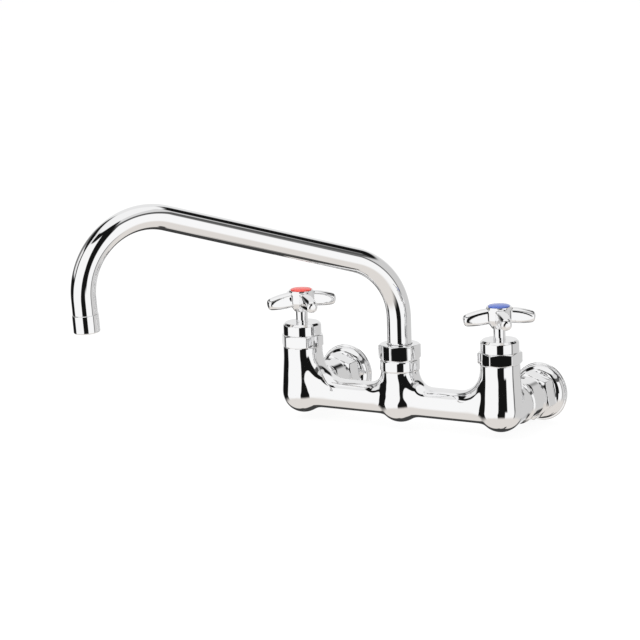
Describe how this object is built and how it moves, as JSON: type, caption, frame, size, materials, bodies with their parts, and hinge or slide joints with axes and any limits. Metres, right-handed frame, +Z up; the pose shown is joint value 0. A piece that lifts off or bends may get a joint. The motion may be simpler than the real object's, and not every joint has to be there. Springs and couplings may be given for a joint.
{
  "type": "wall mounted mixing faucet",
  "caption": "Wall-mounted sink faucet: cast crossbar body, compression valves under cross handles, wall couplings with flanges, and a long bent spout that swings on its centre column.",
  "frame": {"origin": "in the wall plane, midway between the two supply inlets, at the height of the crossbar's axis", "axes": "+X along the crossbar towards the cold side, +Y into the wall, +Z up along the valve stems"},
  "size_m": [0.3072, 0.3494, 0.2329],
  "materials": {
    "polished_chrome": "polished chrome plate over cast and turned brass",
    "plain_brass": "as-machined brass inside the fittings",
    "black_rubber": "smooth black rubber",
    "white_nylon": "plain moulded nylon",
    "red_button": "glossy red moulded plastic",
    "blue_button": "glossy blue moulded plastic"
  },
  "bodies": {
    "faucet_body": {"body_casting": "polished_chrome", "hot_seat": "plain_brass", "cold_seat": "plain_brass", "hot_bonnet": "polished_chrome", "cold_bonnet": "polished_chrome", "hot_bonnet_gasket": "black_rubber", "cold_bonnet_gasket": "black_rubber", "hot_packing": "black_rubber", "cold_packing": "black_rubber", "hot_bonnet_cap": "polished_chrome", "cold_bonnet_cap": "polished_chrome", "hot_coupling_washer": "black_rubber", "cold_coupling_washer": "black_rubber", "hot_tailpiece": "plain_brass", "cold_tailpiece": "plain_brass", "hot_coupling_nut": "polished_chrome", "cold_coupling_nut": "polished_chrome", "hot_wall_flange": "polished_chrome", "cold_wall_flange": "polished_chrome", "swivel_washer": "white_nylon", "spout_nut": "polished_chrome"},
    "swing_spout": {"spout_ferrule": "plain_brass", "spout_o_rings": "black_rubber", "spout_tube": "polished_chrome", "outlet_collar": "polished_chrome", "flow_straightener": "white_nylon"},
    "hot_washer_lift": {"hot_washer_holder": "plain_brass", "hot_seat_washer": "black_rubber", "hot_washer_screw": "plain_brass"},
    "hot_valve": {"hot_stem": "polished_chrome", "hot_handle": "polished_chrome", "hot_handle_screw": "plain_brass", "hot_index_button": "red_button"},
    "cold_washer_lift": {"cold_washer_holder": "plain_brass", "cold_seat_washer": "black_rubber", "cold_washer_screw": "plain_brass"},
    "cold_valve": {"cold_stem": "polished_chrome", "cold_handle": "polished_chrome", "cold_handle_screw": "plain_brass", "cold_index_button": "blue_button"}
  },
  "joints": [
    {"name": "spout_swing", "type": "hinge", "parent": "faucet_body", "child": "swing_spout", "pos_m": [0, -0.081, 0], "axis": [0, 0, 1], "range_deg": [-57, 123]},
    {"name": "hot_lift", "type": "slide", "parent": "faucet_body", "child": "hot_washer_lift", "axis": [0, 0, 1], "range_m": [0, 0.00337]},
    {"name": "hot_turn", "type": "hinge", "parent": "hot_washer_lift", "child": "hot_valve", "pos_m": [-0.1016, -0.081, 0], "axis": [0, 0, 1], "range_deg": [0, 405]},
    {"name": "cold_lift", "type": "slide", "parent": "faucet_body", "child": "cold_washer_lift", "axis": [0, 0, 1], "range_m": [0, 0.00337]},
    {"name": "cold_turn", "type": "hinge", "parent": "cold_washer_lift", "child": "cold_valve", "pos_m": [0.1016, -0.081, 0], "axis": [0, 0, 1], "range_deg": [0, 405]}
  ],
  "couplings": [
    {"joint": "hot_turn", "follows": "hot_lift", "rad_per_m": 2094.4},
    {"joint": "cold_turn", "follows": "cold_lift", "rad_per_m": 2094.4}
  ]
}
